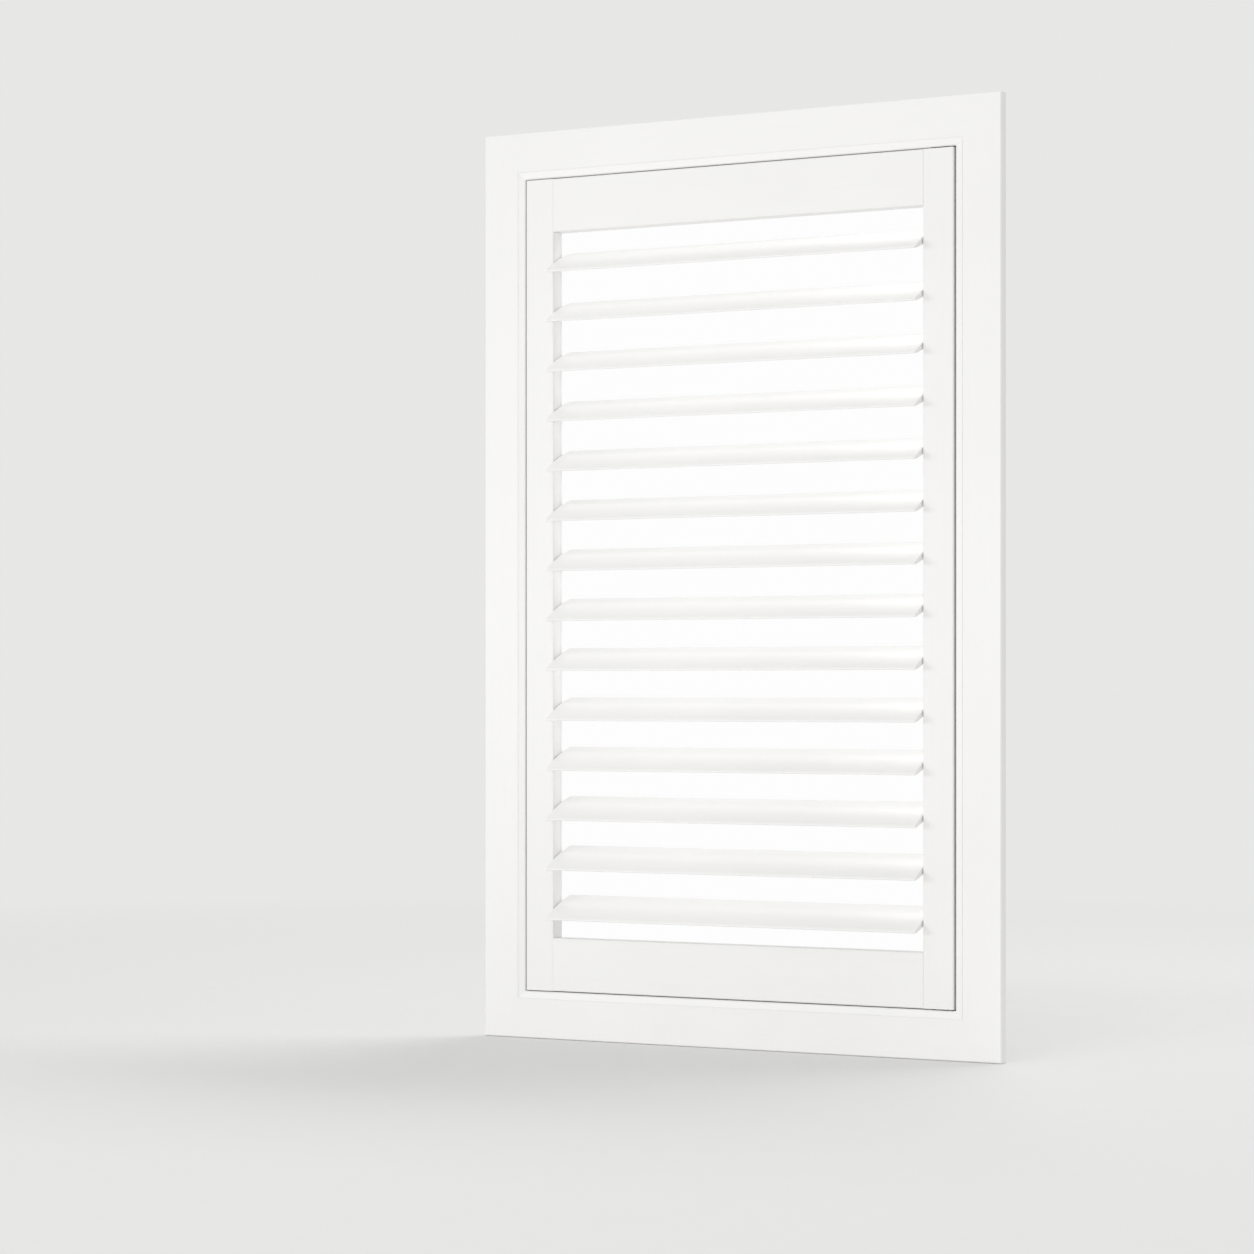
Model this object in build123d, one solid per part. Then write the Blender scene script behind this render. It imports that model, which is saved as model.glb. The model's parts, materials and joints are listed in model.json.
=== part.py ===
from build123d import *
import os
from math import acos, ceil, cos, pi, radians, sin, tan

# Louvred window shutter: one hinged panel of tilting louvres in a mitred frame round a wall opening.
# Millimetres, X to the right, Y into the wall, Z up. The wall's face is Y = 0, the room is at -Y,
# and the origin lies on the wall's face at the middle of the frame.

# Frame
frame_width = 940.0
frame_height = 1500.0
casing_width = 78.0
casing_projection = 18.0
casing_arris = 1.5
bead_width = 12.0
bead_radius = 3.0
bead_fall = 1.8
quirk_width = 1.5
quirk_depth = 0.8
leg_thickness = 19.0
stop_thickness = 12.0
stop_lap = 15.0
stop_clearance = 2.0

# Mitre keys
key_length = 26.0
key_end_width = 14.0
key_waist_width = 7.0
key_depth = 10.0
key_inset = 33.0

# Fixing holes through the legs
fixing_diameter = 4.5
fixing_end_distance = 230.0

# Panel
panel_side_gap = 3.0
panel_end_gap = 1.5
panel_thickness = 28.6
panel_arris = 1.5
inner_arris = 0.8
stile_width = 52.0
rail_height = 87.5
tenon_length = 25.0
tenon_thickness = 10.0
tenon_shoulder = 13.0
joint_clearance = 0.1

# Louvres
louvre_count = 14
louvre_thickness = 11.0
louvre_nose = 3.0
louvre_overlap = 7.0
louvre_end_gap = 1.5
louvre_rail_clearance = 5.5
louvre_rest_tilt = 24.0
louvre_closed_tilt = 86.0

# Louvre journals
journal_diameter = 8.0
journal_clearance = 0.1
journal_end_spare = 0.5
stub_width = 3.2
stub_length = 4.0

# Bearing strips of the journals, let into the inner edges of the stiles
hinge_strip_thickness = 6.0
latch_strip_thickness = 10.0
latch_strip_width = 18.0
strip_lip = 2.0
strip_end_clearance = 0.3

# Tilt gear
gear_module = 1.25
gear_teeth = 7
gear_pressure_angle = 30.0
gear_addendum_share = 0.8
gear_dedendum_share = 1.0
gear_backlash = 0.2
gear_face = 6.0
gear_side_clearance = 0.3
channel_clearance = 1.0
rack_back = 2.0
rack_end_length = 4.0
rack_clearance = 0.3

# Pivot hinge
pivot_inset = 7.0
pivot_pin_diameter = 6.0
pivot_pin_length = 13.5
pivot_clearance = 0.1
pivot_plate_length = 40.0
pivot_plate_width = 20.0
pivot_plate_thickness = 2.0
pivot_plate_setback = 3.0
socket_length = 22.0
socket_width = 14.0
socket_depth = 15.0
socket_edge_wall = 2.0

# Magnetic catches
catch_spacing = 900.0
magnet_length = 40.0
magnet_width = 10.0
magnet_depth = 6.0
magnet_gap = 0.4
strike_length = 44.0
strike_thickness = 1.0

# One overrun serves all cuts that pass through a face
overrun = 5.0

# Depths of the section, from the room side to the back
front = -casing_projection
panel_back = front + panel_thickness
stop_front = panel_back + stop_clearance
stop_back = stop_front + stop_thickness
tilt_axis_depth = (front + panel_back) / 2

# Widths and heights, from the outer edge inwards
leg_inset = casing_width - leg_thickness
stop_inset = casing_width + panel_side_gap + stop_lap
half_width = frame_width / 2
half_height = frame_height / 2
rebate_half_width = half_width - casing_width
rebate_half_height = half_height - casing_width
panel_half_width = rebate_half_width - panel_side_gap
panel_half_height = rebate_half_height - panel_end_gap
opening_half_width = panel_half_width - stile_width
opening_half_height = panel_half_height - rail_height

# Louvre rows, the first at the top
louvre_pitch = (2 * opening_half_height - louvre_overlap - 2 * louvre_rail_clearance) / louvre_count
louvre_chord = louvre_pitch + louvre_overlap
louvre_half_length = opening_half_width - louvre_end_gap
louvre_heights = [((louvre_count - 1) / 2 - row) * louvre_pitch for row in range(louvre_count)]

# Pinion and rack, in a plane across the tilt axis
gear_pitch_radius = gear_module * gear_teeth / 2
gear_base_radius = gear_pitch_radius * cos(radians(gear_pressure_angle))
gear_addendum = gear_module * gear_addendum_share
gear_dedendum = gear_module * gear_dedendum_share
gear_tip_radius = gear_pitch_radius + gear_addendum
gear_root_radius = gear_pitch_radius - gear_dedendum
rack_pitch = pi * gear_module
rack_travel = gear_pitch_radius * radians(louvre_closed_tilt)
rack_rest_lift = gear_pitch_radius * radians(louvre_rest_tilt)
rack_teeth = 2 * ceil(rack_travel / rack_pitch) + 1
rack_half_stretch = rack_teeth * rack_pitch / 2 + rack_end_length
rack_root = gear_pitch_radius + gear_dedendum
rack_rear = rack_root + rack_back

# The gear channel, routed into the hinge-side stile behind its bearing strip
strip_inner_face = opening_half_width + hinge_strip_thickness
gear_near_face = strip_inner_face + gear_side_clearance
channel_floor = gear_near_face + gear_face + channel_clearance
channel_front = tilt_axis_depth - gear_tip_radius - channel_clearance
channel_rear = tilt_axis_depth + rack_rear + rack_clearance
channel_half_height = louvre_heights[0] + rack_half_stretch + rack_travel + channel_clearance

# The hinge axis, near the panel's edge and face on the right
pivot_x = panel_half_width - pivot_inset
pivot_y = front + pivot_inset

# The catch line, where the panel laps the light stop on the left
catch_x = stop_lap / 2 - panel_half_width
catch_heights = [catch_spacing / 2, -catch_spacing / 2]


def block(low, high):
    """A box between two opposite corners."""
    size = [end - start for start, end in zip(low, high)]
    return Pos(*low) * Box(*size, align=(Align.MIN, Align.MIN, Align.MIN))


def round_bar(start, direction, diameter, length):
    """A cylinder that runs from a point along a direction."""
    bar = Cylinder(diameter / 2, length, align=(Align.CENTER, Align.CENTER, Align.MIN))
    return Plane(origin=start, z_dir=direction) * bar


def corner_of(sketch, x, y):
    """The vertex of a sketch that is nearest to a point."""
    return sketch.vertices().sort_by_distance((x, y, 0))[0]


def at_both_ends(shape):
    """A shape at the top and its like at the bottom."""
    return [shape, mirror(shape, about=Plane.XY)]


def eased_board(low, high, along, eased):
    """A board whose long edges nearest to each of some points are chamfered by a length."""
    board = block(low, high)
    for point, length in eased:
        edge = board.edges().filter_by(along).sort_by_distance(point)[0]
        board = chamfer(edge, length)
    return board


# Frame members
def frame_section():
    """Section of a frame member: casing with quirk and bead, leg and light stop, outer edge at x = 0."""
    bead_start = casing_width - bead_width
    quirk_start = bead_start - quirk_width
    quirk_floor = front + quirk_depth
    bead_edge = front + bead_fall
    outline = Polyline(
        (0, 0),
        (0, front),
        (quirk_start, front),
        (quirk_start, quirk_floor),
        (bead_start, quirk_floor),
        (bead_start, front),
        (casing_width, bead_edge),
        (casing_width, stop_front),
        (stop_inset, stop_front),
        (stop_inset, stop_back),
        (leg_inset, stop_back),
        (leg_inset, 0),
        close=True,
    )
    section = make_face(outline)
    section = chamfer(corner_of(section, 0, front), casing_arris)
    return fillet(corner_of(section, casing_width, bead_edge), bead_radius)


def frame_member(length, span):
    """A mitred member on the left of a frame of this span, with its length along Z."""
    bar = extrude(Pos(-span / 2, 0, 0) * frame_section(), amount=length / 2, both=True)
    inner = -span / 2 + stop_inset
    mitred_end = length / 2 - stop_inset
    outline = Polyline(
        (-span / 2, -length / 2),
        (-span / 2, length / 2),
        (inner, mitred_end),
        (inner, -mitred_end),
        close=True,
    )
    reach = casing_projection + stop_back
    return bar & extrude(Plane.XZ * make_face(outline), amount=reach, both=True)


def mitre_keys(clearance):
    """A butterfly key across each corner joint, grown by a clearance, let in from the casing's back."""
    half_length = key_length / 2 + clearance
    half_end = key_end_width / 2 + clearance
    half_waist = key_waist_width / 2 + clearance
    outline = Polyline(
        (-half_length, -half_end),
        (0, -half_waist),
        (half_length, -half_end),
        (half_length, half_end),
        (0, half_waist),
        (-half_length, half_end),
        close=True,
    )
    key = extrude(Plane.XZ * make_face(outline), amount=key_depth + clearance)
    corner_x = half_width - key_inset
    corner_z = half_height - key_inset
    mitre_angle = 45
    return [
        Pos(side * corner_x, 0, end * corner_z) * Rot(0, side * end * mitre_angle, 0) * key
        for side in (-1, 1)
        for end in (-1, 1)
    ]


def fixing_holes(side):
    """The two screw holes through the leg of a side member."""
    height = half_height - fixing_end_distance
    start_x = side * (rebate_half_width - overrun)
    length = leg_thickness + 2 * overrun
    return [
        round_bar((start_x, stop_front / 2, end * height), (side, 0, 0), fixing_diameter, length)
        for end in (-1, 1)
    ]


# Pivot hinge
def pivot_plate(clearance):
    """The top pivot plate without its pin, grown sideways by a clearance, let into the frame."""
    right = rebate_half_width - pivot_plate_setback
    near = front + pivot_plate_setback
    low = (right - pivot_plate_length - clearance, near - clearance, rebate_half_height)
    high = (
        right + clearance,
        near + pivot_plate_width + clearance,
        rebate_half_height + pivot_plate_thickness,
    )
    return block(low, high)


def pivot_with_pin():
    """The top pivot plate with the pin that the panel turns on."""
    start = (pivot_x, pivot_y, rebate_half_height)
    return pivot_plate(0) + round_bar(start, (0, 0, -1), pivot_pin_diameter, pivot_pin_length)


def socket_block(clearance):
    """The top pivot socket before it is bored, grown by a clearance for its pocket in the stile."""
    right = panel_half_width - socket_edge_wall
    near = front + socket_edge_wall
    low = (right - socket_length - clearance, near - clearance, panel_half_height - socket_depth)
    high = (right + clearance, near + socket_width + clearance, panel_half_height)
    return block(low, high)


def pivot_socket():
    """The top pivot socket, bored for the pin."""
    start = (pivot_x, pivot_y, rebate_half_height)
    diameter = pivot_pin_diameter + 2 * pivot_clearance
    return socket_block(0) - round_bar(start, (0, 0, -1), diameter, pivot_pin_length + pivot_clearance)


# Catches
def catch_blocks(half_high, near, far, clearance):
    """A block at each catch, between two depths, grown sideways by a clearance."""
    half_wide = magnet_width / 2 + clearance
    half_tall = half_high + clearance
    return [
        block((catch_x - half_wide, near, z - half_tall), (catch_x + half_wide, far, z + half_tall))
        for z in catch_heights
    ]


def magnets(clearance):
    """The catch magnets in the light stop."""
    near = panel_back + magnet_gap
    return catch_blocks(magnet_length / 2, near, near + magnet_depth, clearance)


def strikes(clearance):
    """The strike plates in the stile's back."""
    return catch_blocks(strike_length / 2, panel_back - strike_thickness, panel_back, clearance)


# Panel
def stile(side):
    """A stile with eased edges, on the left (-1) or the right (1)."""
    outer = side * panel_half_width
    inner = side * opening_half_width
    low = (min(outer, inner), front, -panel_half_height)
    high = (max(outer, inner), panel_back, panel_half_height)
    eased = [
        ((outer, front, 0), panel_arris),
        ((outer, panel_back, 0), panel_arris),
        ((inner, front, 0), inner_arris),
        ((inner, panel_back, 0), inner_arris),
    ]
    return eased_board(low, high, Axis.Z, eased)


def tenons(clearance):
    """The top rail's two tenons, grown by a clearance for their mortises."""
    near = tilt_axis_depth - tenon_thickness / 2 - clearance
    far = tilt_axis_depth + tenon_thickness / 2 + clearance
    low_z = opening_half_height + tenon_shoulder - clearance
    high_z = panel_half_height - tenon_shoulder + clearance
    tip = opening_half_width + tenon_length + clearance
    right = block((opening_half_width, near, low_z), (tip, far, high_z))
    return [right, mirror(right, about=Plane.YZ)]


def rail():
    """The top rail with eased edges and its tenons."""
    low = (-opening_half_width, front, opening_half_height)
    high = (opening_half_width, panel_back, panel_half_height)
    eased = [
        ((0, front, panel_half_height), panel_arris),
        ((0, panel_back, panel_half_height), panel_arris),
        ((0, front, opening_half_height), inner_arris),
        ((0, panel_back, opening_half_height), inner_arris),
    ]
    return eased_board(low, high, Axis.X, eased) + tenons(0)


# Bearing strips and their places in the stiles
def hinge_strip(clearance, depth):
    """The hinge-side strip, which closes the gear channel, shrunk by a clearance at its edges."""
    near = channel_front - strip_lip + clearance
    far = channel_rear + strip_lip - clearance
    return strip_block(opening_half_width, opening_half_width + depth, near, far, clearance)


def latch_strip(clearance, depth):
    """The latch-side strip, shrunk by a clearance at its edges."""
    near = tilt_axis_depth - latch_strip_width / 2 + clearance
    far = tilt_axis_depth + latch_strip_width / 2 - clearance
    return strip_block(-opening_half_width - depth, -opening_half_width, near, far, clearance)


def strip_block(low_x, high_x, near, far, clearance):
    """A strip as long as the louvred opening, with its ends cleared where its edges are."""
    half_tall = opening_half_height - (strip_end_clearance if clearance else 0)
    return block((low_x, near, -half_tall), (high_x, far, half_tall))


def bearing_windows(middle_x):
    """The square windows of a bearing strip, one for the round journal of each louvre."""
    size = journal_diameter + 2 * journal_clearance
    reach = 2 * (hinge_strip_thickness + latch_strip_thickness)
    return [Pos(middle_x, tilt_axis_depth, z) * Box(reach, size, size) for z in louvre_heights]


def gear_channel():
    """The channel of the pinions and the rack, behind the hinge-side strip."""
    low = (opening_half_width, channel_front, -channel_half_height)
    return block(low, (channel_floor, channel_rear, channel_half_height))


# Louvres, level and with the tilt axis on X, before they are tilted and moved to their rows
def gear_stub(clearance):
    """The square stub that carries the pinion, grown by a clearance for its socket."""
    half_wide = stub_width / 2 + clearance
    low = (gear_near_face, -half_wide, -half_wide)
    return block(low, (gear_near_face + stub_length + clearance, half_wide, half_wide))


def louvre():
    """A blade of lens section with narrow noses, a journal at each end and the pinion's stub."""
    half_chord = louvre_chord / 2
    half_nose = louvre_nose / 2
    half_thick = louvre_thickness / 2
    upper = ThreePointArc((-half_chord, half_nose), (0, half_thick), (half_chord, half_nose))
    lower = ThreePointArc((-half_chord, -half_nose), (0, -half_thick), (half_chord, -half_nose))
    noses = [Line((end, -half_nose), (end, half_nose)) for end in (-half_chord, half_chord)]
    section = make_face([upper, lower, *noses])
    blade = extrude(Plane.YZ * section, amount=louvre_half_length, both=True)
    hinge_length = gear_near_face - louvre_half_length
    latch_length = louvre_end_gap + latch_strip_thickness - journal_end_spare
    hinge_end = round_bar((louvre_half_length, 0, 0), (1, 0, 0), journal_diameter, hinge_length)
    latch_end = round_bar((-louvre_half_length, 0, 0), (-1, 0, 0), journal_diameter, latch_length)
    return blade + [hinge_end, latch_end, gear_stub(0)]


def involute(angle):
    """The involute function of an angle in radians."""
    return tan(angle) - angle


def tooth_half_angle(radius):
    """Half the angle that a pinion's tooth spans at a radius."""
    flank_angle = acos(min(1, gear_base_radius / radius))
    return pi / (2 * gear_teeth) + involute(radians(gear_pressure_angle)) - involute(flank_angle)


def pinion_outline():
    """The pinion's outline about the tilt axis, with a space between two teeth on the rack's side."""
    root, tip = tooth_half_angle(gear_root_radius), tooth_half_angle(gear_tip_radius)
    tooth = [
        (-root, gear_root_radius),
        (-tip, gear_tip_radius),
        (tip, gear_tip_radius),
        (root, gear_root_radius),
    ]
    step = 2 * pi / gear_teeth
    return [
        (radius * cos((index + 1 / 2) * step + angle), radius * sin((index + 1 / 2) * step + angle))
        for index in range(gear_teeth)
        for angle, radius in tooth
    ]


def pinion():
    """A pinion in the channel, with a square socket that presses on the louvre's stub."""
    profile = make_face(Polyline(*pinion_outline(), close=True))
    gear = extrude(Plane.YZ.offset(gear_near_face) * profile, amount=gear_face)
    return gear - gear_stub(joint_clearance)


def in_row(shape, height):
    """A piece of a louvre, tilted to its rest angle with the room-side edge down, in its row."""
    return Pos(0, tilt_axis_depth, height) * Rot(louvre_rest_tilt, 0, 0) * shape


# Rack
def rack_outline():
    """The rack's outline beside the tilt axis, as (depth, height), for level louvres."""
    half_tooth = rack_pitch / 4 - gear_backlash / 2
    slope = tan(radians(gear_pressure_angle))
    half_tip = half_tooth - gear_addendum * slope
    half_root = half_tooth + gear_dedendum * slope
    tip = gear_pitch_radius - gear_addendum
    tooth = [(rack_root, -half_root), (tip, -half_tip), (tip, half_tip), (rack_root, half_root)]
    low = louvre_heights[-1] - rack_half_stretch
    high = louvre_heights[0] + rack_half_stretch
    toothed_edge = [
        (depth, row + (index - (rack_teeth - 1) / 2) * rack_pitch + height)
        for row in reversed(louvre_heights)
        for index in range(rack_teeth)
        for depth, height in tooth
    ]
    return [(rack_rear, low), (rack_root, low), *toothed_edge, (rack_root, high), (rack_rear, high)]


def rack():
    """The rack in its channel, raised to where the louvres' rest tilt puts it."""
    profile = make_face(Polyline(*rack_outline(), close=True))
    near = strip_inner_face + rack_clearance
    bar = extrude(Plane.YZ.offset(near) * profile, amount=channel_floor - rack_clearance - near)
    return Pos(0, tilt_axis_depth, rack_rest_lift) * bar


# All pieces by name
def frame_pieces():
    """The pieces that stay fixed to the wall."""
    side_member = frame_member(frame_height, frame_width)
    level_member = frame_member(frame_width, frame_height)
    key_pockets = mitre_keys(joint_clearance)
    plate_pockets = at_both_ends(pivot_plate(joint_clearance))
    half_turn, quarter_turn = 180, 90
    left_cuts = key_pockets + fixing_holes(-1) + magnets(joint_clearance)
    return {
        "frame_left": side_member - left_cuts,
        "frame_right": Rot(0, half_turn, 0) * side_member - key_pockets - fixing_holes(1),
        "frame_top": Rot(0, quarter_turn, 0) * level_member - key_pockets - plate_pockets,
        "frame_bottom": Rot(0, -quarter_turn, 0) * level_member - key_pockets - plate_pockets,
        "mitre_keys": Compound(mitre_keys(0)),
        "pivot_plates": Compound(at_both_ends(pivot_with_pin())),
        "catch_magnets": Compound(magnets(0)),
    }


def panel_pieces():
    """The pieces that swing with the panel, apart from the louvres."""
    mortises = [cut for tenon in tenons(joint_clearance) for cut in at_both_ends(tenon)]
    socket_pockets = at_both_ends(socket_block(joint_clearance))
    rail_top, rail_bottom = at_both_ends(rail())
    hinge_cuts = [*mortises, *socket_pockets, hinge_strip(0, hinge_strip_thickness), gear_channel()]
    latch_cuts = [*mortises, *strikes(joint_clearance), latch_strip(0, latch_strip_thickness)]
    hinge_bearing = hinge_strip(joint_clearance, hinge_strip_thickness)
    latch_bearing = latch_strip(joint_clearance, latch_strip_thickness)
    return {
        "stile_hinge_side": stile(1) - hinge_cuts,
        "stile_latch_side": stile(-1) - latch_cuts,
        "rail_top": rail_top,
        "rail_bottom": rail_bottom,
        "bearing_strip_hinge_side": hinge_bearing - bearing_windows(opening_half_width),
        "bearing_strip_latch_side": latch_bearing - bearing_windows(-opening_half_width),
        "pivot_sockets": Compound(at_both_ends(pivot_socket())),
        "catch_strikes": Compound(strikes(0)),
        "tilt_rack": rack(),
    }


def louvre_pieces():
    """Each louvre's blade and its pinion."""
    blade, gear = louvre(), pinion()
    made = {}
    for row, height in enumerate(louvre_heights, start=1):
        made[f"louvre_{row:02d}"] = in_row(blade, height)
        made[f"pinion_{row:02d}"] = in_row(gear, height)
    return made


os.makedirs("parts", exist_ok=True)
for name, piece in {**frame_pieces(), **panel_pieces(), **louvre_pieces()}.items():
    export_step(piece, f"parts/{name}.step")
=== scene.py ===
import json
from math import cos, radians, sqrt

import bmesh
import bpy
from bpy.props import FloatProperty, FloatVectorProperty, IntProperty, PointerProperty
from mathutils import Matrix, Vector


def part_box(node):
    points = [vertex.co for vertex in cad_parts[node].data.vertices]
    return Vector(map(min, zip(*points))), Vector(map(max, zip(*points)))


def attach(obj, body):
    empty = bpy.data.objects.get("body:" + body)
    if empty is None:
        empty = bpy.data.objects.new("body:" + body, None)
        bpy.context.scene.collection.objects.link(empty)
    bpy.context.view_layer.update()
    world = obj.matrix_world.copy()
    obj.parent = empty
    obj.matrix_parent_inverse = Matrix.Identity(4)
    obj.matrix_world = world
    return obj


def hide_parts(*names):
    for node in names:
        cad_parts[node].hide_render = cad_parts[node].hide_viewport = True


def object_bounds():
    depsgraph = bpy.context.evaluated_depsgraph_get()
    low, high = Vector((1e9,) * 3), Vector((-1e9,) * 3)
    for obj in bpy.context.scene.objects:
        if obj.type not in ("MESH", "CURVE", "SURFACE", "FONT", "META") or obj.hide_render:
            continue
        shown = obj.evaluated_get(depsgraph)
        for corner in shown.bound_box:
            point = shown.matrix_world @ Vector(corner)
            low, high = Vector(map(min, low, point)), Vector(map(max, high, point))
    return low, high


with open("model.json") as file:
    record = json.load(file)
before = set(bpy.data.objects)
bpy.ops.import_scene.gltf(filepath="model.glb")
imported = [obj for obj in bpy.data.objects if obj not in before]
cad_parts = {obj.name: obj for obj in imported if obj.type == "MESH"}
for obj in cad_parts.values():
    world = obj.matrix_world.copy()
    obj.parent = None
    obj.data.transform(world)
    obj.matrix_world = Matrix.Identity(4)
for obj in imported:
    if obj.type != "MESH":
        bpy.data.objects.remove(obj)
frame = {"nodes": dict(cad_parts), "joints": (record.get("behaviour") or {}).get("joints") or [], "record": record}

bl_info = {
    "name": "Louvred shutter",
    "version": (1, 0, 0),
    "blender": (4, 5, 0),
    "location": "View3D > Sidebar > Shutter",
    "description": "Finishes and fittings of a louvred window shutter in its mitred frame",
    "category": "Object",
}

# The solid model's own box, before anything is added
cad_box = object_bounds()

# Solid pieces by finish; painted members with the axis that the brush follows
FRAME_MEMBERS = {"frame_left": "Z", "frame_right": "Z", "frame_top": "X", "frame_bottom": "X"}
PANEL_MEMBERS = {"stile_hinge_side": "Z", "stile_latch_side": "Z", "rail_top": "X", "rail_bottom": "X"}
BEARING_STRIPS = ["bearing_strip_hinge_side", "bearing_strip_latch_side"]
GEAR_PIECES = ["pivot_sockets", "tilt_rack"]
PINIONS = sorted(name for name in frame["nodes"] if name.startswith("pinion_"))
LOUVRES = sorted(name for name in frame["nodes"] if name.startswith("louvre_"))

MILLIMETRE = 0.001
WHITE = (1.0, 1.0, 1.0, 1.0)

# Floor and daylight pane, in metres
FLOOR_HALF_SIZE = 6.0
FLOOR_CLEARANCE = 0.0005
FLOOR_FADE_START = 1.2
FLOOR_FADE_END = 4.5
PANE_HALF_WIDTH = 0.375
PANE_HALF_HEIGHT = 0.655
PANE_DEPTH = 0.046

# Lamps and camera, with places and lamp sizes in metres
KEY_LAMP_PLACE = (-4.4, -6.2, 0.1)
FILL_LAMP_PLACE = (1.4, -6.9, 0.1)
OVERHEAD_LAMP_PLACE = (0.3, -5.0, 5.5)
BACK_LAMP_PLACE = (0.7, 2.6, 4.4)
WIDE_LAMP_AIM = (0.0, 0.0, 0.0)
WIDE_LAMP_SIZE = (5.0, 1.6)
WIDE_LAMP_SPREAD = radians(180)
SLIM_LAMP_PLACE = (0.42, 0.5, 0.0)
SLIM_LAMP_AIM = (-0.34, 0.0, 0.0)
SLIM_LAMP_SIZE = (0.15, 1.2)
SLIM_LAMP_SPREAD = radians(50)
CAMERA_PLACE = (2.817, -5.237, -0.173)
SENSOR_WIDTH_MM = 36.0


# Settings
class PaintSettings(bpy.types.PropertyGroup):
    """Colour and surface of the white paint."""

    casing_colour: FloatVectorProperty(
        name="Casing colour", description="Paint of the frame members",
        default=(0.875, 0.87, 0.855), subtype="COLOR", min=0, max=1)
    panel_colour: FloatVectorProperty(
        name="Panel colour", description="Paint of the stiles and rails",
        default=(0.865, 0.86, 0.845), subtype="COLOR", min=0, max=1)
    # The louvres' white is lighter than the stiles' white as painted light, standing in for daylight from the
    # window behind
    louvre_colour_with_painted_light: FloatVectorProperty(
        name="Louvre colour with painted light", description="Paint of the louvres",
        default=(0.915, 0.91, 0.9), subtype="COLOR", min=0, max=1)
    sheen_roughness: FloatProperty(
        name="Roughness", description="Roughness of the satin paint", default=0.36, min=0, max=1)
    mark_depth: FloatProperty(
        name="Mark depth", description="Height of the brush marks and of the paint's fine texture",
        default=0.00012, unit="LENGTH", precision=6)


class LouvreSettings(bpy.types.PropertyGroup):
    """Sizes of a louvre."""

    chord: FloatProperty(
        name="Chord", description="Width of the blade", default=0.089, unit="LENGTH")
    thickness: FloatProperty(
        name="Thickness", description="Thickness in the middle of the blade", default=0.011, unit="LENGTH")
    nose: FloatProperty(
        name="Nose", description="Thickness at the long edges", default=0.003, unit="LENGTH", precision=4)
    length: FloatProperty(
        name="Length", description="Length of the blade", default=0.671, unit="LENGTH")
    tilt: FloatProperty(
        name="Tilt", description="Tilt of the blades in the rest pose, room side down",
        default=radians(24), subtype="ANGLE")
    journal_diameter: FloatProperty(
        name="Journal diameter", description="Diameter of the round ends that the louvre turns on",
        default=0.008, unit="LENGTH", precision=4)
    stub_length: FloatProperty(
        name="Stub length", description="Length of the square stub past the hinge-side journal",
        default=0.004, unit="LENGTH", precision=4)
    chord_cuts: IntProperty(
        name="Chord cuts", description="Cuts across the blade that carry its crown", default=17, min=3)


class ScrewSettings(bpy.types.PropertyGroup):
    """Sizes of the screws."""

    fixing_head_diameter: FloatProperty(
        name="Fixing head", description="Head diameter of the screws through the frame's legs",
        default=0.0085, unit="LENGTH", precision=4)
    fixing_head_height: FloatProperty(
        name="Fixing head height", description="Head height of the screws through the frame's legs",
        default=0.0016, unit="LENGTH", precision=4)
    fixing_shank_diameter: FloatProperty(
        name="Fixing shank", description="Shank diameter of the screws through the frame's legs",
        default=0.004, unit="LENGTH", precision=4)
    leg_thickness: FloatProperty(
        name="Leg thickness", description="Thickness of the legs that the fixing screws go through",
        default=0.019, unit="LENGTH", precision=4)
    plate_head_diameter: FloatProperty(
        name="Plate head", description="Head diameter of the pivot plates' screws",
        default=0.006, unit="LENGTH", precision=4)
    plate_head_height: FloatProperty(
        name="Plate head height", description="Height of those heads above the plate",
        default=0.0006, unit="LENGTH", precision=4)
    plate_thickness: FloatProperty(
        name="Plate thickness", description="Thickness of the pivot plates",
        default=0.002, unit="LENGTH", precision=4)
    plate_screw_setback: FloatProperty(
        name="Plate screw setback", description="From the room edge of a pivot plate to its screws",
        default=0.012, unit="LENGTH", precision=4)


class FittingSettings(bpy.types.PropertyGroup):
    """Colours of the moulded pieces and of the fittings."""

    # White plastic of the bearing strips, made lighter than the panel's paint as painted light on the shaded
    # reveal beside the louvres
    strip_colour_with_painted_light: FloatVectorProperty(
        name="Strip colour with painted light", description="Plastic of the bearing strips",
        default=(0.92, 0.915, 0.905), subtype="COLOR", min=0, max=1)
    nylon_colour: FloatVectorProperty(
        name="Nylon colour", description="Plastic of the rack, the pinions and the pivot sockets",
        default=(0.82, 0.815, 0.785), subtype="COLOR", min=0, max=1)
    zinc_colour: FloatVectorProperty(
        name="Zinc colour", description="Plating of the screws and strikes",
        default=(0.59, 0.595, 0.595), subtype="COLOR", min=0, max=1)
    # Steel of the pivot plates and pins, made dark as painted shade, so the pin in the gap reads as the gap's
    # shadow
    pivot_colour_with_painted_shade: FloatVectorProperty(
        name="Pivot colour with painted shade", description="Darkened steel of the pivot plates and their pins",
        default=(0.16, 0.155, 0.15), subtype="COLOR", min=0, max=1)


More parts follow.
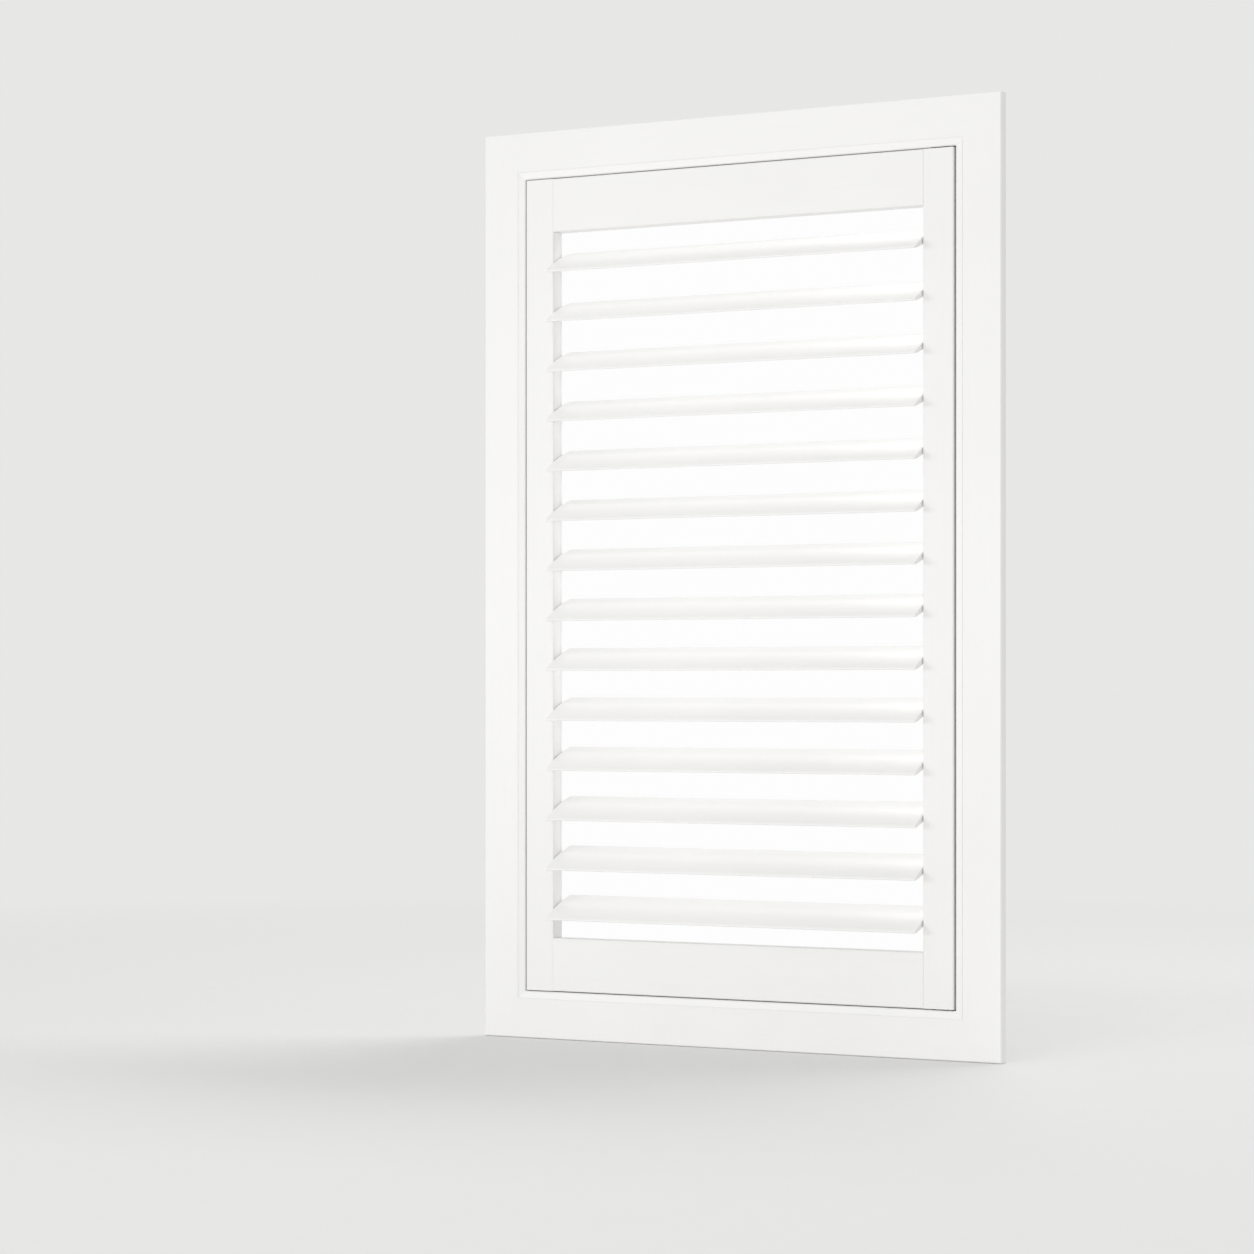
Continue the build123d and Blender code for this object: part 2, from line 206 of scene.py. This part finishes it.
class StageSettings(bpy.types.PropertyGroup):
    """Floor, light and camera."""

    floor_colour: FloatVectorProperty(
        name="Floor colour", description="Colour of the pale floor",
        default=(0.82, 0.82, 0.815), subtype="COLOR", min=0, max=1)
    backdrop_colour: FloatVectorProperty(
        name="Backdrop colour", description="Colour that the camera sees behind the floor",
        default=(0.8, 0.8, 0.795), subtype="COLOR", min=0, max=1)
    sky_strength: FloatProperty(
        name="Surrounding light", description="Strength of the even light from all round",
        default=0.652, min=0)
    key_power: FloatProperty(
        name="Key light", description="Power of the wide lamp on the left", default=83.0, unit="POWER")
    fill_power: FloatProperty(
        name="Fill light", description="Power of the wide lamp in front", default=84.0, unit="POWER")
    overhead_power: FloatProperty(
        name="Overhead light", description="Power of the lamp high in front", default=58.0, unit="POWER")
    back_power: FloatProperty(
        name="Back light", description="Power of the lamp high behind", default=97.0, unit="POWER")
    window_power: FloatProperty(
        name="Window light", description="Power of the slim lamp behind the hinge side",
        default=0.31, unit="POWER")
    daylight_strength: FloatProperty(
        name="Daylight", description="Brightness of the window that the camera sees behind the louvres",
        default=0.985, min=0, max=1)
    lens: FloatProperty(
        name="Lens", description="Focal length of the camera", default=106.0, unit="CAMERA")
    heading: FloatProperty(
        name="Heading", description="How far the camera is turned to the left of straight on",
        default=radians(30), subtype="ANGLE")
    shift: FloatProperty(
        name="Shift", description="Upward shift of the camera's picture", default=0.05)


# Shader maths
class Value:
    """A number that varies over a surface. Sums and products of values add Math nodes."""

    def __init__(self, nodes, socket):
        self.nodes = nodes
        self.socket = socket

    def combine(self, operation, first, second):
        return self.nodes.add("ShaderNodeMath", {"operation": operation}, {0: first, 1: second})

    def __add__(self, other):
        return self.combine("ADD", self, other)

    def __radd__(self, other):
        return self.combine("ADD", other, self)

    def __sub__(self, other):
        return self.combine("SUBTRACT", self, other)

    def __rsub__(self, other):
        return self.combine("SUBTRACT", other, self)

    def __mul__(self, other):
        return self.combine("MULTIPLY", self, other)

    def __rmul__(self, other):
        return self.combine("MULTIPLY", other, self)


class Nodes:
    """The node tree of a finish."""

    def __init__(self, tree):
        self.tree = tree
        self.tree.nodes.clear()

    def add(self, kind, settings=None, inputs=None, output=0):
        """Adds a node, sets its settings, then feeds its inputs, and returns one of its outputs, if any."""
        node = self.tree.nodes.new(kind)
        for name, setting in (settings or {}).items():
            setattr(node, name, setting)
        for name, given in (inputs or {}).items():
            if isinstance(given, Value):
                self.tree.links.new(given.socket, node.inputs[name])
            else:
                node.inputs[name].default_value = given
        return Value(self, node.outputs[output]) if node.outputs else None

    def place(self, counts):
        """The surface's place on the piece, in so many units to the metre along each axis."""
        here = self.add("ShaderNodeTexCoord", output="Object")
        return self.add("ShaderNodeMapping", inputs={"Vector": here, "Scale": counts})

    def noise(self, counts, detail, roughness=0.5):
        """Cloudy noise, with so many clouds to the metre along each axis."""
        inputs = {"Vector": self.place(counts), "Scale": 1.0, "Detail": detail, "Roughness": roughness}
        return self.add("ShaderNodeTexNoise", inputs=inputs)

    def ramp(self, value, low, high):
        """A value stretched so that low becomes 0 and high becomes 1, and held there."""
        inputs = {"Value": value, "From Min": low, "From Max": high, "To Min": 0.0, "To Max": 1.0}
        return self.add("ShaderNodeMapRange", {"clamp": True}, inputs)

    def mix(self, share, first, second):
        """A colour between two colours."""
        first_socket, second_socket, result_socket = 6, 7, 2
        inputs = {"Factor": share, first_socket: first, second_socket: second}
        return self.add("ShaderNodeMix", {"data_type": "RGBA"}, inputs, output=result_socket)

    def bump(self, height, depth, strength):
        """A surface normal raised by a height between 0 and 1, times a depth in metres."""
        inputs = {"Height": height, "Distance": depth, "Strength": strength}
        return self.add("ShaderNodeBump", inputs=inputs)

    def surface(self, inputs):
        """Ends the tree in one principled surface."""
        shader = self.add("ShaderNodeBsdfPrincipled", inputs=inputs)
        self.add("ShaderNodeOutputMaterial", inputs={"Surface": shader})


def new_finish(name):
    """An empty material and its nodes."""
    material = bpy.data.materials.new(name)
    material.use_nodes = True
    return material, Nodes(material.node_tree)


def opaque(colour):
    """A colour with full alpha."""
    return (*colour, 1.0)


def shaded(colour, share):
    """A colour made darker or lighter by a share."""
    return opaque([min(1.0, part * share) for part in colour])


def alike(count):
    """The same number on every axis."""
    return (count, count, count)


def stretched(along, across_count, along_count):
    """Counts to the metre on each axis, for a pattern that runs along one of them."""
    return tuple(along_count if axis == along else across_count for axis in "XYZ")


# Finishes
def paint_finish(name, colour, along):
    """Satin white paint on wood, brushed along one axis, with the grain just showing through."""
    settings = bpy.context.scene.shutter_paint
    material, nodes = new_finish(name)
    cloud = nodes.noise(alike(count=3.0), detail=3.0)
    grain = nodes.noise(stretched(along, across_count=260.0, along_count=5.0), detail=4.0, roughness=0.6)
    brush = nodes.noise(stretched(along, across_count=900.0, along_count=14.0), detail=2.0)
    speckle = nodes.noise(alike(count=1400.0), detail=2.0)
    cloud_share, grain_share, half_share = 0.7, 0.3, 0.5
    tone = nodes.ramp(cloud * cloud_share + grain * grain_share, low=0.3, high=0.7)
    patch = nodes.ramp(cloud * half_share + brush * half_share, low=0.3, high=0.7)
    grain_rise, brush_rise, speckle_rise = 0.45, 0.35, 0.2
    height = grain * grain_rise + brush * brush_rise + speckle * speckle_rise
    dark_share, light_share = 0.975, 1.015
    roughness_swing = 0.1
    nodes.surface({
        "Base Color": nodes.mix(tone, shaded(colour, dark_share), shaded(colour, light_share)),
        "Roughness": settings.sheen_roughness - roughness_swing / 2 + patch * roughness_swing,
        "Normal": nodes.bump(height, settings.mark_depth, strength=0.6),
        "IOR": 1.48,
    })
    return material


def moulded_finish(name, colour):
    """Moulded plastic with a fine matt texture."""
    material, nodes = new_finish(name)
    flow = nodes.noise(stretched("Z", across_count=40.0, along_count=12.0), detail=3.0)
    pore = nodes.noise(alike(count=2200.0), detail=2.0)
    tone = nodes.ramp(flow, low=0.35, high=0.65)
    dark_share, light_share = 0.97, 1.02
    low_roughness, roughness_swing = 0.42, 0.16
    nodes.surface({
        "Base Color": nodes.mix(tone, shaded(colour, dark_share), shaded(colour, light_share)),
        "Roughness": low_roughness + pore * roughness_swing,
        "Normal": nodes.bump(pore, depth=0.00004, strength=0.5),
    })
    return material


def steel_finish(name, colour):
    """Brushed and plated steel, brushed along X."""
    material, nodes = new_finish(name)
    line = nodes.noise(stretched("X", across_count=3200.0, along_count=60.0), detail=3.0, roughness=0.65)
    patch = nodes.noise(alike(count=90.0), detail=2.0)
    dark_share, light_share = 0.88, 1.12
    low_roughness, roughness_swing = 0.26, 0.2
    nodes.surface({
        "Base Color": nodes.mix(patch, shaded(colour, dark_share), shaded(colour, light_share)),
        "Roughness": low_roughness + line * roughness_swing,
        "Metallic": 1.0,
        "Normal": nodes.bump(line, depth=0.00002, strength=0.5),
    })
    return material


def magnet_finish():
    """Dark sintered magnet."""
    material, nodes = new_finish("sintered_magnet")
    speck = nodes.noise(alike(count=1800.0), detail=3.0)
    dark, light = (0.05, 0.05, 0.055), (0.12, 0.12, 0.125)
    low_roughness, roughness_swing = 0.5, 0.2
    nodes.surface({
        "Base Color": nodes.mix(nodes.ramp(speck, low=0.4, high=0.65), opaque(dark), opaque(light)),
        "Roughness": low_roughness + speck * roughness_swing,
        "Normal": nodes.bump(speck, depth=0.00005, strength=0.6),
    })
    return material


def bare_wood_finish():
    """Planed softwood, with rings that wander along X."""
    material, nodes = new_finish("planed_softwood")
    wander = nodes.noise(stretched("X", across_count=60.0, along_count=18.0), detail=3.0)
    place = nodes.place(stretched("X", across_count=220.0, along_count=12.0))
    bent = nodes.add("ShaderNodeVectorMath", {"operation": "ADD"}, {0: place, 1: wander})
    ring = nodes.add("ShaderNodeTexWave", {"bands_direction": "DIAGONAL"},
                     {"Vector": bent, "Scale": 1.0, "Distortion": 3.0, "Detail": 2.0}, output="Fac")
    fibre = nodes.noise(stretched("X", across_count=1500.0, along_count=60.0), detail=2.0)
    ring_share, fibre_share = 0.7, 0.3
    tone = nodes.ramp(ring * ring_share + fibre * fibre_share, low=0.1, high=0.9)
    late_wood, early_wood = (0.5, 0.33, 0.18), (0.66, 0.49, 0.3)
    low_roughness, roughness_swing = 0.55, 0.2
    nodes.surface({
        "Base Color": nodes.mix(tone, opaque(late_wood), opaque(early_wood)),
        "Roughness": low_roughness + fibre * roughness_swing,
        "Normal": nodes.bump(fibre, depth=0.00008, strength=0.5),
    })
    return material


def wear(node, material):
    """Gives a solid node its finish."""
    piece = frame["nodes"][node]
    if not piece.material_slots:
        piece.data.materials.append(material)
    for slot in piece.material_slots:
        slot.material = material


# Mesh tools
def finished_piece(name, mesh_tool, material, body):
    """Turns a bmesh into a piece that rides on a body, smooth but for its sharp edges."""
    sharp_angle = radians(30)
    bmesh.ops.recalc_face_normals(mesh_tool, faces=mesh_tool.faces)
    for face in mesh_tool.faces:
        face.smooth = True
    for edge in mesh_tool.edges:
        edge.smooth = edge.is_manifold and edge.calc_face_angle() < sharp_angle
    mesh = bpy.data.meshes.new(name)
    mesh_tool.to_mesh(mesh)
    mesh_tool.free()
    mesh.materials.append(material)
    piece = bpy.data.objects.new(name, mesh)
    bpy.context.scene.collection.objects.link(piece)
    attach(piece, body)
    return piece


def bevel_edges(mesh_tool, edges, width, segments):
    """Rounds edges."""
    bmesh.ops.bevel(mesh_tool, geom=edges, offset=width, offset_type="OFFSET", segments=segments,
                    profile=0.5, affect="EDGES", clamp_overlap=True, material=-1)


def long_edges(mesh_tool, axis):
    """The edges that run along an axis."""
    index, straight_share = "XYZ".index(axis), 0.99
    found = []
    for edge in mesh_tool.edges:
        run = edge.verts[1].co - edge.verts[0].co
        if abs(run[index]) > straight_share * run.length:
            found.append(edge)
    return found


def add_bar(mesh_tool, start, direction, diameter, length, segments=32):
    """Adds a round bar that runs from a point along a direction."""
    turn = Vector(direction).to_track_quat("Z", "Y").to_matrix().to_4x4()
    place = Matrix.Translation(Vector(start) + Vector(direction) * (length / 2)) @ turn
    bmesh.ops.create_cone(mesh_tool, cap_ends=True, segments=segments, radius1=diameter / 2,
                          radius2=diameter / 2, depth=length, matrix=place)


def face_at(mesh_tool, centre, along, level_tolerance, centre_tolerance):
    """The largest face that lies square to a direction at a point."""
    level = centre.dot(along)
    found = [face for face in mesh_tool.faces
             if all(abs(vertex.co.dot(along) - level) < level_tolerance for vertex in face.verts)
             and (face.calc_center_median() - centre).length < centre_tolerance]
    return max(found, key=lambda face: face.calc_area())


# Louvres
def add_blade(mesh_tool, sizes):
    """A blade with crowned faces, rounded noses and eased ends."""
    half_length, half_chord, half_nose = sizes.length / 2, sizes.chord / 2, sizes.nose / 2
    rise = sizes.thickness / 2 - half_nose
    radius = (half_chord ** 2 + rise ** 2) / (2 * rise)
    board = Matrix.Diagonal((sizes.length, sizes.chord, sizes.nose, 1))
    bmesh.ops.create_cube(mesh_tool, size=1.0, matrix=board)
    bmesh.ops.subdivide_edges(mesh_tool, edges=long_edges(mesh_tool, "Y"), cuts=sizes.chord_cuts,
                              use_grid_fill=True)
    for vertex in mesh_tool.verts:
        crown = sqrt(radius ** 2 - vertex.co.y ** 2) - (radius - rise)
        vertex.co.z += crown if vertex.co.z > 0 else -crown

    at_nose_share, nose_round_share = 0.999, 0.96
    noses = [edge for edge in long_edges(mesh_tool, "X")
             if abs(edge.verts[0].co.y) > at_nose_share * half_chord]
    bevel_edges(mesh_tool, noses, half_nose * nose_round_share, segments=4)

    at_end_share, end_round_share, corner_angle = 0.9999, 0.35, radians(60)
    ends = [edge for edge in mesh_tool.edges
            if edge.is_manifold and edge.calc_face_angle() > corner_angle
            and all(abs(vertex.co.x) > at_end_share * half_length for vertex in edge.verts)]
    bevel_edges(mesh_tool, ends, half_nose * end_round_share, segments=2)


def make_louvre(node, sizes, material):
    """A louvre at its rest tilt, in place of its solid."""
    joint = next(joint for joint in frame["joints"] if joint["child"] == node)
    low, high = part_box(node)
    half_length = sizes.length / 2
    mesh_tool = bmesh.new()
    add_blade(mesh_tool, sizes)
    for reach, side in ((-low.x, -1), (high.x - sizes.stub_length, 1)):
        start, direction = (side * half_length, 0, 0), (side, 0, 0)
        add_bar(mesh_tool, start, direction, sizes.journal_diameter, reach - half_length)
    turn = Matrix.Rotation(sizes.tilt, 4, "X")
    bmesh.ops.transform(mesh_tool, matrix=Matrix.Translation(joint["pos_m"]) @ turn, verts=mesh_tool.verts)
    piece = finished_piece(node.replace("louvre", "blade"), mesh_tool, material, node)
    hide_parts(node)


# Screws
def add_screw_head(mesh_tool, seat, direction, diameter, height):
    """A low domed head with a four-lobed recess, seated on a point."""
    along = Vector(direction)
    centre = Vector(seat) + along * height
    level_share, centre_share = 0.01, 0.1
    tolerances = (height * level_share, diameter * centre_share)
    add_bar(mesh_tool, seat, along, diameter, height, segments=48)
    dome_share, rim_share = 0.7, 0.12
    cap = face_at(mesh_tool, centre, along, *tolerances)
    bevel_edges(mesh_tool, list(cap.edges), height * dome_share, segments=4)
    top = face_at(mesh_tool, centre, along, *tolerances)
    bmesh.ops.inset_region(mesh_tool, faces=[top], thickness=diameter * rim_share)

    lobes, waist_share, lobe_share = 4, 0.62, 0.3
    across = along.orthogonal().normalized()
    for vertex in top.verts:
        arm = vertex.co - centre
        vertex.co = centre + arm * (waist_share + lobe_share * cos(lobes * arm.angle(across)))

    depth_share, taper_share = 0.75, 0.8
    pushed = bmesh.ops.extrude_discrete_faces(mesh_tool, faces=[top])["faces"][0]
    bmesh.ops.translate(mesh_tool, verts=pushed.verts, vec=along * (-height * depth_share))
    about_centre = Matrix.Translation(-centre)
    bmesh.ops.scale(mesh_tool, verts=pushed.verts, vec=alike(taper_share), space=about_centre)


def add_fixing_screws(mesh_tool, mount, sizes):
    """The two screws of one leg, headed on its inner face."""
    middle, outward = Vector(mount["pos_m"]), Vector(mount["axis"])
    half_spacing = mount["dims"]["spacing_y_mm"] * MILLIMETRE / 2
    for end in (-1, 1):
        seat = middle + Vector((0, 0, end * half_spacing)) - outward * (sizes.leg_thickness / 2)
        add_screw_head(mesh_tool, seat, -outward, sizes.fixing_head_diameter, sizes.fixing_head_height)
        add_bar(mesh_tool, seat, outward, sizes.fixing_shank_diameter, sizes.leg_thickness, segments=24)


def add_plate_screws(mesh_tool, sizes):
    """Two screws in each pivot plate, beside its pin."""
    low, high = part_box("pivot_plates")
    screw_shares = (0.16, 0.5)
    for end, level in ((1, high.z), (-1, low.z)):
        face = level - end * sizes.plate_thickness
        for share in screw_shares:
            seat = (low.x + (high.x - low.x) * share, low.y + sizes.plate_screw_setback, face)
            add_screw_head(mesh_tool, seat, (0, 0, -end), sizes.plate_head_diameter,
                           sizes.plate_head_height)


# Pieces
class SHUTTER_OT_paint_frame(bpy.types.Operator):
    """Paint the four mitred members of the frame"""

    bl_idname = "shutter.paint_frame"
    bl_label = "Paint frame"

    def execute(self, context):
        colour = context.scene.shutter_paint.casing_colour
        coats = {axis: paint_finish(f"casing_paint_{axis.lower()}", colour, axis) for axis in "XZ"}
        for node, axis in FRAME_MEMBERS.items():
            wear(node, coats[axis])
        return {"FINISHED"}


class SHUTTER_OT_paint_panel(bpy.types.Operator):
    """Paint the stiles and rails of the panel"""

    bl_idname = "shutter.paint_panel"
    bl_label = "Paint panel"

    def execute(self, context):
        colour = context.scene.shutter_paint.panel_colour
        coats = {axis: paint_finish(f"panel_paint_{axis.lower()}", colour, axis) for axis in "XZ"}
        for node, axis in PANEL_MEMBERS.items():
            wear(node, coats[axis])
        return {"FINISHED"}


class SHUTTER_OT_louvres(bpy.types.Operator):
    """Make the louvres with their rounded noses and journals"""

    bl_idname = "shutter.louvres"
    bl_label = "Louvres"

    def execute(self, context):
        # The louvre paint is the panel's white made lighter as painted light
        coat = paint_finish("louvre_paint", context.scene.shutter_paint.louvre_colour_with_painted_light, "X")
        for node in LOUVRES:
            make_louvre(node, context.scene.shutter_louvre, coat)
        return {"FINISHED"}


class SHUTTER_OT_moulded_pieces(bpy.types.Operator):
    """Finish the moulded strips, sockets, rack and pinions"""

    bl_idname = "shutter.moulded_pieces"
    bl_label = "Moulded pieces"

    def execute(self, context):
        settings = context.scene.shutter_fitting
        # The bearing strips' white carries painted light on the reveal
        white = moulded_finish("moulded_white_with_painted_light", settings.strip_colour_with_painted_light)
        for node in BEARING_STRIPS:
            wear(node, white)
        nylon = moulded_finish("natural_nylon", settings.nylon_colour)
        for node in GEAR_PIECES + PINIONS:
            wear(node, nylon)
        return {"FINISHED"}


class SHUTTER_OT_fittings(bpy.types.Operator):
    """Finish the pivot plates, the strike plates, the magnets and the mitre keys"""

    bl_idname = "shutter.fittings"
    bl_label = "Fittings"

    def execute(self, context):
        settings = context.scene.shutter_fitting
        # The pivot steel's dark colour is painted shade, so the pin merges with the gap's shadow
        wear("pivot_plates", steel_finish("darkened_steel_with_painted_shade", settings.pivot_colour_with_painted_shade))
        wear("catch_strikes", steel_finish("zinc_plate", settings.zinc_colour))
        wear("catch_magnets", magnet_finish())
        wear("mitre_keys", bare_wood_finish())
        return {"FINISHED"}


class SHUTTER_OT_screws(bpy.types.Operator):
    """Drive the fixing screws through the legs and the screws of the pivot plates"""

    bl_idname = "shutter.screws"
    bl_label = "Screws"

    def execute(self, context):
        sizes = context.scene.shutter_screw
        steel = steel_finish("screw_zinc", context.scene.shutter_fitting.zinc_colour)
        mesh_tool = bmesh.new()
        for mount in frame["record"]["mounts"]:
            if mount["kind"] == "bolt_pattern":
                add_fixing_screws(mesh_tool, mount, sizes)
        finished_piece("fixing_screws", mesh_tool, steel, "frame")
        mesh_tool = bmesh.new()
        add_plate_screws(mesh_tool, sizes)
        finished_piece("plate_screws", mesh_tool, steel, "frame")
        return {"FINISHED"}


# Stage
def floor_finish(colour):
    """A matt floor that fades out with distance."""
    material, nodes = new_finish("pale_floor")
    here = nodes.add("ShaderNodeTexCoord", output="Object")
    distance = nodes.add("ShaderNodeVectorMath", {"operation": "LENGTH"}, {0: here}, output="Value")
    dust = nodes.noise(alike(count=25.0), detail=4.0)
    dark_share, light_share = 0.99, 1.01
    base = nodes.mix(dust, shaded(colour, dark_share), shaded(colour, light_share))
    matt = nodes.add("ShaderNodeBsdfDiffuse", inputs={"Color": base})
    clear = nodes.add("ShaderNodeBsdfTransparent")
    share = nodes.ramp(distance, FLOOR_FADE_START, FLOOR_FADE_END)
    shader = nodes.add("ShaderNodeMixShader", inputs={0: share, 1: matt, 2: clear})
    nodes.add("ShaderNodeOutputMaterial", inputs={"Surface": shader})
    return material


def seen_share(nodes):
    """One where the camera looks, straight or by a reflection, and nought for the light on the shutter."""
    kinds = ("Is Camera Ray", "Is Glossy Ray", "Is Transmission Ray")
    camera, glossy, clear = (nodes.add("ShaderNodeLightPath", output=kind) for kind in kinds)
    return nodes.ramp(camera + glossy + clear, low=0.0, high=1.0)


def daylight_finish(strength):
    """A bright pane that shows from the room, straight or by a reflection, and is clear from behind."""
    material, nodes = new_finish("daylight")
    behind = nodes.add("ShaderNodeNewGeometry", output="Backfacing")
    share = seen_share(nodes) * (1.0 - behind)
    clear = nodes.add("ShaderNodeBsdfTransparent")
    bright = nodes.add("ShaderNodeEmission", inputs={"Color": WHITE, "Strength": strength})
    shader = nodes.add("ShaderNodeMixShader", inputs={0: share, 1: clear, 2: bright})
    nodes.add("ShaderNodeOutputMaterial", inputs={"Surface": shader})
    return material


def light_world(colour, strength):
    """Even light from all round, with a pale backdrop for the camera and for reflections."""
    world = bpy.data.worlds.new("studio")
    world.use_nodes = True
    bpy.context.scene.world = world
    nodes = Nodes(world.node_tree)
    seen = seen_share(nodes)
    even = nodes.add("ShaderNodeBackground", inputs={"Color": WHITE, "Strength": strength})
    backdrop = nodes.add("ShaderNodeBackground", inputs={"Color": opaque(colour), "Strength": 1.0})
    shader = nodes.add("ShaderNodeMixShader", inputs={0: seen, 1: even, 2: backdrop})
    nodes.add("ShaderNodeOutputWorld", inputs={"Surface": shader})


def stage_plane(name, matrix, material):
    """A plane of the stage, shaped from a square by a matrix."""
    mesh_tool = bmesh.new()
    bmesh.ops.create_grid(mesh_tool, x_segments=1, y_segments=1, size=1.0, matrix=matrix)
    mesh = bpy.data.meshes.new(name)
    mesh_tool.to_mesh(mesh)
    mesh_tool.free()
    mesh.materials.append(material)
    plane = bpy.data.objects.new(name, mesh)
    bpy.context.scene.collection.objects.link(plane)


class SHUTTER_OT_stage(bpy.types.Operator):
    """Set up the floor, the daylight behind the louvres, the lamps and the camera"""

    bl_idname = "shutter.stage"
    bl_label = "Stage"

    def execute(self, context):
        settings = context.scene.shutter_stage
        self.floor(settings)
        self.window(settings)
        light_world(settings.backdrop_colour, settings.sky_strength)
        self.lamp("key", settings.key_power, KEY_LAMP_PLACE)
        self.lamp("fill", settings.fill_power, FILL_LAMP_PLACE)
        self.lamp("overhead", settings.overhead_power, OVERHEAD_LAMP_PLACE)
        self.lamp("back", settings.back_power, BACK_LAMP_PLACE)
        self.lamp("window", settings.window_power, SLIM_LAMP_PLACE, SLIM_LAMP_AIM, SLIM_LAMP_SIZE,
                  SLIM_LAMP_SPREAD)
        self.camera(context, settings)
        context.scene.view_settings.view_transform = "Standard"
        return {"FINISHED"}

    def floor(self, settings):
        """A floor just under the frame."""
        level = cad_box[0].z - FLOOR_CLEARANCE
        place = Matrix.Translation((0, 0, level)) @ Matrix.Scale(FLOOR_HALF_SIZE, 4)
        stage_plane("floor", place, floor_finish(settings.floor_colour))

    def window(self, settings):
        """A bright pane behind the louvres, as wide as the opening in the light stop."""
        face_room = Matrix.Rotation(radians(90), 4, "X")
        shape = Matrix.Diagonal((PANE_HALF_WIDTH, PANE_HALF_HEIGHT, 1, 1))
        place = Matrix.Translation((0, PANE_DEPTH, 0)) @ face_room @ shape
        stage_plane("daylight_pane", place, daylight_finish(settings.daylight_strength))

    def lamp(self, name, power, location, aim=WIDE_LAMP_AIM, size=WIDE_LAMP_SIZE, spread=WIDE_LAMP_SPREAD):
        """A soft lamp of a width and a height that faces a point of the shutter."""
        light = bpy.data.lights.new(name, "AREA")
        light.energy = power
        light.shape = "ELLIPSE"
        light.size, light.size_y = size
        light.spread = spread
        lamp = bpy.data.objects.new(name, light)
        lamp.location = location
        lamp.visible_camera = False
        lamp.rotation_euler = (Vector(aim) - lamp.location).to_track_quat("-Z", "Y").to_euler()
        bpy.context.scene.collection.objects.link(lamp)

    def camera(self, context, settings):
        """A level camera to the right of the shutter, a little under its middle."""
        view = bpy.data.cameras.new("camera")
        view.lens = settings.lens
        view.sensor_width = SENSOR_WIDTH_MM
        view.shift_y = settings.shift
        camera = bpy.data.objects.new("camera", view)
        camera.location = CAMERA_PLACE
        camera.rotation_euler = (radians(90), 0, settings.heading)
        context.scene.collection.objects.link(camera)
        context.scene.camera = camera


# Sidebar
class SHUTTER_PT_sidebar(bpy.types.Panel):
    """Pieces and settings of the shutter"""

    bl_idname = "SHUTTER_PT_sidebar"
    bl_label = "Louvred shutter"
    bl_space_type = "VIEW_3D"
    bl_region_type = "UI"
    bl_category = "Shutter"

    def draw(self, context):
        for operator in OPERATORS:
            self.layout.operator(operator.bl_idname)
        for group in SETTINGS:
            settings = getattr(context.scene, group)
            for name in settings.__annotations__:
                self.layout.prop(settings, name)


SETTINGS = {
    "shutter_paint": PaintSettings,
    "shutter_louvre": LouvreSettings,
    "shutter_screw": ScrewSettings,
    "shutter_fitting": FittingSettings,
    "shutter_stage": StageSettings,
}
OPERATORS = [
    SHUTTER_OT_paint_frame,
    SHUTTER_OT_paint_panel,
    SHUTTER_OT_louvres,
    SHUTTER_OT_moulded_pieces,
    SHUTTER_OT_fittings,
    SHUTTER_OT_screws,
    SHUTTER_OT_stage,
]
CLASSES = [*SETTINGS.values(), *OPERATORS, SHUTTER_PT_sidebar]


def register():
    for kind in CLASSES:
        bpy.utils.register_class(kind)
    for name, kind in SETTINGS.items():
        setattr(bpy.types.Scene, name, PointerProperty(type=kind))


def unregister():
    for name in SETTINGS:
        delattr(bpy.types.Scene, name)
    for kind in reversed(CLASSES):
        bpy.utils.unregister_class(kind)


def main():
    register()
    bpy.ops.shutter.paint_frame()
    bpy.ops.shutter.paint_panel()
    bpy.ops.shutter.louvres()
    bpy.ops.shutter.moulded_pieces()
    bpy.ops.shutter.fittings()
    bpy.ops.shutter.screws()
    bpy.ops.shutter.stage()


if __name__ == "__main__":
    main()
